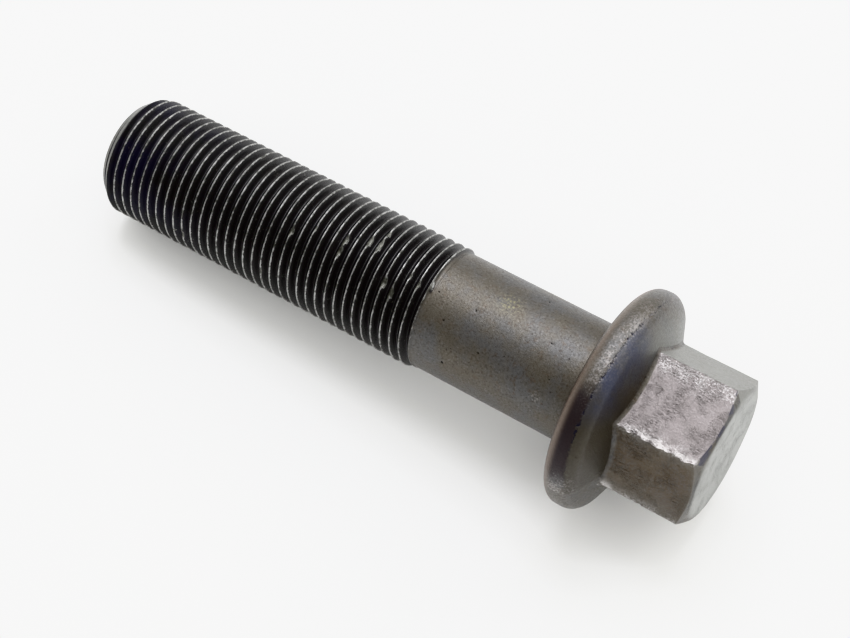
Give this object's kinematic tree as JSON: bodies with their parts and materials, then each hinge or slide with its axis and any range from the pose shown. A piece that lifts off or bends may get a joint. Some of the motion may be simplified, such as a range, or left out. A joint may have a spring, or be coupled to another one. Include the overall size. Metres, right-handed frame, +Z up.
{
  "type": "hex flange bolt",
  "caption": "Hexagon head bolt with a round conical flange, a plain shank and a fine right-hand rolled thread with a chamfered point.",
  "frame": {"origin": "centre of the bearing face under the flange, on the bolt's axis", "axes": "+X along the bolt from the point to the head, +Z up as the bolt lies on its side, +Y to its left seen from the point"},
  "size_m": [0.0946, 0.0308, 0.0308],
  "materials": {
    "oxide_thread": "black oxide with worn bright crests",
    "bronzed_shank": "brown heat-tinted steel, satin, fine speckle",
    "tempered_flange": "brown, purple and blue temper tints, satin, worn rim",
    "worn_hexagon": "worn and scratched bare steel with rusty brown film, burred corners"
  },
  "bodies": {
    "root": {"chamfered_point": "oxide_thread", "thread": "oxide_thread", "thread_runout": "oxide_thread", "shank": "bronzed_shank", "flange": "tempered_flange", "hex_head": "worn_hexagon"}
  },
  "joints": []
}
